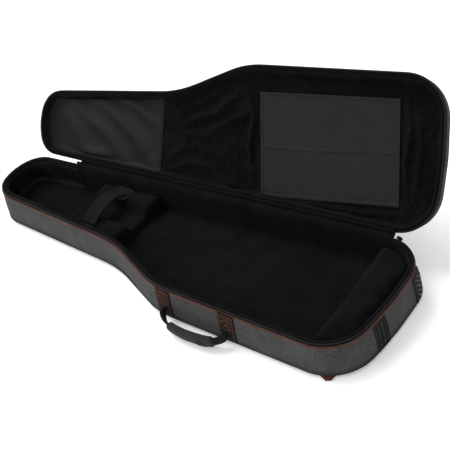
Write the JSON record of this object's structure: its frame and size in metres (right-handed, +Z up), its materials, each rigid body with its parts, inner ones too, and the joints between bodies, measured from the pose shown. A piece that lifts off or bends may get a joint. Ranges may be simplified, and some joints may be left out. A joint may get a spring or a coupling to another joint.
{
  "type": "padded gig bag",
  "caption": "Padded electric guitar gig bag lying open on its back: padded tray, hinged padded lid, zippers, neck cradle, carry handle and shoulder straps.",
  "frame": {"origin": "on the floor under the middle of the bag's length, on the line of the instrument's neck, at the underside of the back pad", "axes": "+X along the bag from the head end to the tail end, +Y towards the hinged side, -Y towards the carry handle, +Z up out of the open tray"},
  "size_m": [1.1092, 0.6158, 0.3553],
  "materials": {
    "outer_fabric": "woven polyester, dark charcoal grey, matt",
    "foam": "closed cell foam, sewn in and hidden",
    "plush": "short pile plush, black",
    "nylon_guard": "plain nylon sheet, very dark grey, slight sheen",
    "piping": "rust brown cord edging",
    "dark_piping": "charcoal and black cord edging",
    "zipper_tape": "black woven tape",
    "zipper_coil": "black nylon coil",
    "webbing": "black woven webbing with rust stitching",
    "hook_loop": "black loop pile",
    "grip_fabric": "padded dark grey fabric",
    "rubber": "moulded black rubber, ribbed",
    "anchor_fabric": "maroon webbing",
    "moulded_plastic": "black moulded plastic",
    "slider_metal": "black painted zinc",
    "pull_rubber": "moulded black rubber"
  },
  "bodies": {
    "base": {"base_bottom_panel": "outer_fabric", "base_floor_foam": "foam", "base_floor_lining": "plush", "base_outer_wall": "outer_fabric", "base_wall_foam": "foam", "base_wall_lining": "plush", "base_zipper_coil": "zipper_coil", "base_zipper_tape": "zipper_tape", "bottom_piping": "dark_piping", "rim_piping": "piping", "hinge_gusset": "outer_fabric", "neck_cradle": "plush", "neck_strap_root": "webbing", "strap_loop_patch": "hook_loop", "tail_pad": "plush", "head_wall_guard": "nylon_guard", "tail_bumper_front": "rubber", "tail_bumper_far": "rubber", "handle_tab_head": "webbing", "handle_tab_tail": "webbing", "shoulder_anchor_front": "anchor_fabric", "shoulder_anchor_far": "anchor_fabric", "shoulder_pad_front": "grip_fabric", "shoulder_pad_far": "grip_fabric", "shoulder_webbing_front": "webbing", "shoulder_webbing_far": "webbing", "ladder_locks": "moulded_plastic", "spine_pad": "grip_fabric"},
    "lid": {"lid_bridge_guard": "nylon_guard", "lid_edge_piping": "dark_piping", "lid_foam": "foam", "lid_head_guard": "nylon_guard", "lid_lining": "plush", "lid_outer_panel": "outer_fabric", "lid_rim_piping": "dark_piping", "lid_side_wall": "outer_fabric", "lid_wall_foam": "foam", "lid_wall_lining": "plush", "lid_zipper_coil": "zipper_coil", "lid_zipper_tape": "zipper_tape", "body_pocket": "outer_fabric", "body_pocket_tape": "zipper_tape", "body_pocket_coil": "zipper_coil", "neck_pocket": "outer_fabric", "neck_pocket_tape": "zipper_tape", "neck_pocket_coil": "zipper_coil"},
    "handle": {"handle_webbing": "webbing", "handle_grip": "grip_fabric"},
    "neck_strap": {"neck_strap": "webbing"},
    "head_slider": {"head_slider": "slider_metal"},
    "head_pull": {"head_slider_pull": "pull_rubber"},
    "tail_slider": {"tail_slider": "slider_metal"},
    "tail_pull": {"tail_slider_pull": "pull_rubber"},
    "body_pocket_slider": {"body_pocket_slider": "slider_metal"},
    "body_pocket_pull": {"body_pocket_pull": "pull_rubber"},
    "neck_pocket_slider": {"neck_pocket_slider": "slider_metal"},
    "neck_pocket_pull": {"neck_pocket_pull": "pull_rubber"}
  },
  "joints": [
    {"name": "lid_hinge", "type": "hinge", "parent": "base", "child": "lid", "pos_m": [-0.00038, 0.12198, 0.088], "axis": [-0.9955, -0.0949, 0], "range_deg": [-127, 53], "deforming": ["hinge_gusset"]},
    {"name": "handle_swing", "type": "hinge", "parent": "base", "child": "handle", "pos_m": [0.17, -0.17856, 0.031], "axis": [-1, 0, 0], "range_deg": [-28, 60]},
    {"name": "neck_strap_open", "type": "hinge", "parent": "base", "child": "neck_strap", "pos_m": [-0.236, -0.0675, 0.0672], "axis": [1, 0, 0], "range_deg": [0, 88]},
    {"name": "head_slider_slide", "type": "slide", "parent": "base", "child": "head_slider", "axis": [-0.9955, -0.0949, 0], "range_m": [0, 0.068]},
    {"name": "head_pull_swing", "type": "hinge", "parent": "head_slider", "child": "head_pull", "pos_m": [-0.39838, 0.08404, 0.0807], "axis": [-0.9955, -0.0949, 0], "range_deg": [-40, 0]},
    {"name": "tail_slider_turn", "type": "hinge", "parent": "base", "child": "tail_slider", "pos_m": [0.44861, 0.06935, 0.088], "axis": [0, 0, -1], "range_deg": [0, 32]},
    {"name": "tail_pull_swing", "type": "hinge", "parent": "tail_slider", "child": "tail_pull", "pos_m": [0.46275, 0.1633, 0.0807], "axis": [-0.9889, 0.1488, 0], "range_deg": [-40, 0]},
    {"name": "body_pocket_slide", "type": "slide", "parent": "lid", "child": "body_pocket_slider", "axis": [0.9856, 0.1513, 0.0758], "range_m": [0, 0.25]},
    {"name": "body_pocket_pull_swing", "type": "hinge", "parent": "body_pocket_slider", "child": "body_pocket_pull", "pos_m": [0.1012, 0.32975, 0.25065], "axis": [0.9856, 0.1513, 0.0758], "range_deg": [-28, 125]},
    {"name": "neck_pocket_slide", "type": "slide", "parent": "lid", "child": "neck_pocket_slider", "axis": [0.9856, 0.1513, 0.0758], "range_m": [0, 0.13]},
    {"name": "neck_pocket_pull_swing", "type": "hinge", "parent": "neck_pocket_slider", "child": "neck_pocket_pull", "pos_m": [-0.33695, 0.21895, 0.1661], "axis": [0.9856, 0.1513, 0.0758], "range_deg": [-28, 125]}
  ]
}
